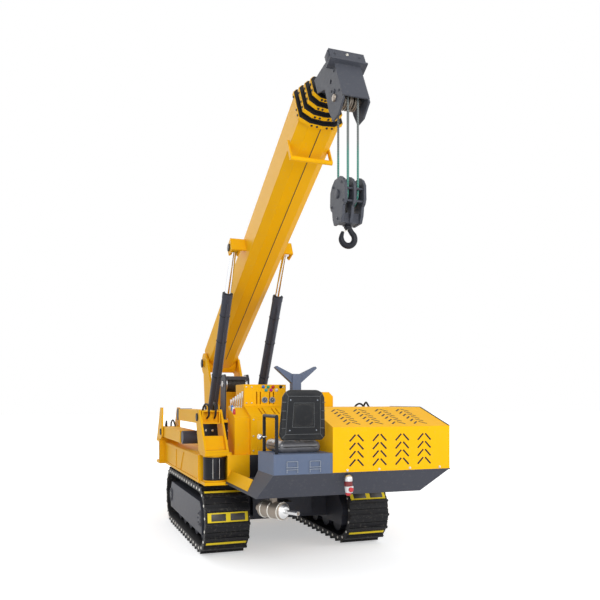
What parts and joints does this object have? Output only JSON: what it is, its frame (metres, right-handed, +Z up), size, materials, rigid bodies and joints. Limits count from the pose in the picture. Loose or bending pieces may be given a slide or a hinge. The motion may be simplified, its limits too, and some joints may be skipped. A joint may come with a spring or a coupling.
{
  "type": "crawler crane",
  "caption": "Small tracked telescopic crane with a rear driver's seat, slewing boom column, twin lift cylinders and swing-out outriggers.",
  "frame": {"origin": "on the ground under the middle of the two tracks", "axes": "+X to the driver's right, +Y the way the driver faces, towards the slewing column, +Z up"},
  "size_m": [2.074, 4.9539, 4.4001],
  "materials": {
    "yellow_paint": "gloss",
    "charcoal_paint": "satin",
    "slate_paint": "satin",
    "black_paint": "semi-gloss",
    "track_steel": "painted",
    "chrome": "polished",
    "bright_steel": "brushed",
    "engine_iron": "matte",
    "seat_vinyl": "grained",
    "wire_rope": "satin"
  },
  "bodies": {
    "carrier": {"carbody": "charcoal_paint", "track_left": "track_steel", "track_right": "track_steel", "track_frame_left": "charcoal_paint", "track_frame_right": "charcoal_paint", "chassis": "yellow_paint", "tray": "charcoal_paint", "seat_box": "slate_paint", "hood": "yellow_paint", "engine": "engine_iron", "console": "yellow_paint", "oil_tank": "yellow_paint", "boom_rest": "slate_paint", "seat": "seat_vinyl", "grab_rail": "black_paint", "muffler": "bright_steel", "lever_bank": "yellow_paint", "slew_ring": "black_paint"},
    "turntable": {"turntable": "yellow_paint", "winch_frame": "black_paint"},
    "winch_drum": {"winch_drum": "bright_steel"},
    "boom_base": {"boom_base": "yellow_paint"},
    "boom_2": {"boom_2": "yellow_paint"},
    "boom_3": {"boom_3": "yellow_paint"},
    "boom_4": {"boom_4": "yellow_paint"},
    "boom_5": {"boom_5": "charcoal_paint", "boom_head": "charcoal_paint", "head_sheaves": "bright_steel"},
    "lift_barrels": {"lift_barrels": "black_paint"},
    "lift_rods": {"lift_rods": "chrome"},
    "hook_block": {"hoist_rope": "wire_rope", "hook_block": "black_paint"},
    "hook": {"hook": "black_paint"},
    "outrigger_root_rl": {"outrigger_root_rl": "yellow_paint"},
    "outrigger_arm_rl": {"outrigger_arm_rl": "yellow_paint"},
    "outrigger_beam_rl": {"outrigger_beam_rl": "charcoal_paint"},
    "outrigger_root_rr": {"outrigger_root_rr": "yellow_paint"},
    "outrigger_arm_rr": {"outrigger_arm_rr": "yellow_paint"},
    "outrigger_beam_rr": {"outrigger_beam_rr": "charcoal_paint"},
    "outrigger_root_fl": {"outrigger_root_fl": "yellow_paint"},
    "outrigger_arm_fl": {"outrigger_arm_fl": "yellow_paint"},
    "outrigger_beam_fl": {"outrigger_beam_fl": "charcoal_paint"},
    "outrigger_root_fr": {"outrigger_root_fr": "yellow_paint"},
    "outrigger_arm_fr": {"outrigger_arm_fr": "yellow_paint"},
    "outrigger_beam_fr": {"outrigger_beam_fr": "charcoal_paint"}
  },
  "joints": [
    {"name": "slew", "type": "hinge", "parent": "carrier", "child": "turntable", "pos_m": [0, 1.75, 1.2], "axis": [0, 0, 1], "continuous": true},
    {"name": "winch_turn", "type": "hinge", "parent": "turntable", "child": "winch_drum", "pos_m": [0, 1.43, 1.715], "axis": [1, 0, 0], "continuous": true},
    {"name": "boom_luff", "type": "hinge", "parent": "turntable", "child": "boom_base", "pos_m": [0, 2.3, 2.036], "axis": [-1, 0, 0], "range_deg": [-29.4, 47.6]},
    {"name": "boom_extend", "type": "slide", "parent": "boom_base", "child": "boom_2", "axis": [0, -0.8878, 0.4602], "range_m": [0, 2.4]},
    {"name": "boom_extend_3", "type": "slide", "parent": "boom_2", "child": "boom_3", "axis": [0, -0.8878, 0.4602], "range_m": [0, 2.4]},
    {"name": "boom_extend_4", "type": "slide", "parent": "boom_3", "child": "boom_4", "axis": [0, -0.8878, 0.4602], "range_m": [0, 2.4]},
    {"name": "boom_extend_5", "type": "slide", "parent": "boom_4", "child": "boom_5", "axis": [0, -0.8878, 0.4602], "range_m": [0, 2.4]},
    {"name": "lift_barrel_swing", "type": "hinge", "parent": "turntable", "child": "lift_barrels", "pos_m": [0, 1.38, 1.39], "axis": [-1, 0, 0], "range_deg": [-28, 44.5]},
    {"name": "lift_rod_slide", "type": "slide", "parent": "lift_barrels", "child": "lift_rods", "axis": [0, -0.5202, 0.8541], "range_m": [-0.53, 0.85]},
    {"name": "hook_swing", "type": "hinge", "parent": "boom_5", "child": "hook_block", "pos_m": [0, -2.30984, 3.97497], "axis": [1, 0, 0], "range_deg": [-30, 48]},
    {"name": "hook_turn", "type": "hinge", "parent": "hook_block", "child": "hook", "pos_m": [0, -2.30984, 2.949], "axis": [0, 0, 1], "continuous": true},
    {"name": "outrigger_swing_rl", "type": "hinge", "parent": "carrier", "child": "outrigger_root_rl", "pos_m": [-0.833, -1.03, 0.85], "axis": [0, 0, 1], "range_deg": [0, 120]},
    {"name": "outrigger_lower_rl", "type": "hinge", "parent": "outrigger_root_rl", "child": "outrigger_arm_rl", "pos_m": [-0.833, -0.78, 1.33], "axis": [-1, 0, 0], "range_deg": [0, 35.62]},
    {"name": "outrigger_extend_rl", "type": "slide", "parent": "outrigger_arm_rl", "child": "outrigger_beam_rl", "axis": [0, 1, 0], "range_m": [0, 0.81]},
    {"name": "outrigger_swing_rr", "type": "hinge", "parent": "carrier", "child": "outrigger_root_rr", "pos_m": [0.833, -1.03, 0.85], "axis": [0, 0, -1], "range_deg": [0, 120]},
    {"name": "outrigger_lower_rr", "type": "hinge", "parent": "outrigger_root_rr", "child": "outrigger_arm_rr", "pos_m": [0.833, -0.78, 1.33], "axis": [-1, 0, 0], "range_deg": [0, 35.62]},
    {"name": "outrigger_extend_rr", "type": "slide", "parent": "outrigger_arm_rr", "child": "outrigger_beam_rr", "axis": [0, 1, 0], "range_m": [0, 0.81]},
    {"name": "outrigger_swing_fl", "type": "hinge", "parent": "carrier", "child": "outrigger_root_fl", "pos_m": [-0.915, 1.4, 0.85], "axis": [0, 0, -1], "range_deg": [0, 120]},
    {"name": "outrigger_lower_fl", "type": "hinge", "parent": "outrigger_root_fl", "child": "outrigger_arm_fl", "pos_m": [-0.915, 1.15, 1.1], "axis": [1, 0, 0], "range_deg": [0, 28.44]},
    {"name": "outrigger_extend_fl", "type": "slide", "parent": "outrigger_arm_fl", "child": "outrigger_beam_fl", "axis": [0, -1, 0], "range_m": [0, 0.81]},
    {"name": "outrigger_swing_fr", "type": "hinge", "parent": "carrier", "child": "outrigger_root_fr", "pos_m": [0.915, 1.4, 0.85], "axis": [0, 0, 1], "range_deg": [0, 120]},
    {"name": "outrigger_lower_fr", "type": "hinge", "parent": "outrigger_root_fr", "child": "outrigger_arm_fr", "pos_m": [0.915, 1.15, 1.1], "axis": [1, 0, 0], "range_deg": [0, 28.44]},
    {"name": "outrigger_extend_fr", "type": "slide", "parent": "outrigger_arm_fr", "child": "outrigger_beam_fr", "axis": [0, -1, 0], "range_m": [0, 0.81]}
  ],
  "couplings": [
    {"joint": "boom_extend_3", "follows": "boom_extend", "ratio": 1},
    {"joint": "boom_extend_4", "follows": "boom_extend", "ratio": 1},
    {"joint": "boom_extend_5", "follows": "boom_extend", "ratio": 1},
    {"joint": "lift_barrel_swing", "follows": "boom_luff", "ratio": 0.91},
    {"joint": "lift_rod_slide", "follows": "boom_luff", "m_per_rad": 0.995},
    {"joint": "hook_swing", "follows": "boom_luff", "ratio": 1},
    {"joint": "outrigger_lower_rl", "follows": "outrigger_swing_rl", "ratio": 0.2952},
    {"joint": "outrigger_extend_rl", "follows": "outrigger_swing_rl", "m_per_rad": 0.38197},
    {"joint": "outrigger_lower_rr", "follows": "outrigger_swing_rr", "ratio": 0.2952},
    {"joint": "outrigger_extend_rr", "follows": "outrigger_swing_rr", "m_per_rad": 0.38197},
    {"joint": "outrigger_lower_fl", "follows": "outrigger_swing_fl", "ratio": 0.23532},
    {"joint": "outrigger_extend_fl", "follows": "outrigger_swing_fl", "m_per_rad": 0.38197},
    {"joint": "outrigger_lower_fr", "follows": "outrigger_swing_fr", "ratio": 0.23532},
    {"joint": "outrigger_extend_fr", "follows": "outrigger_swing_fr", "m_per_rad": 0.38197}
  ]
}
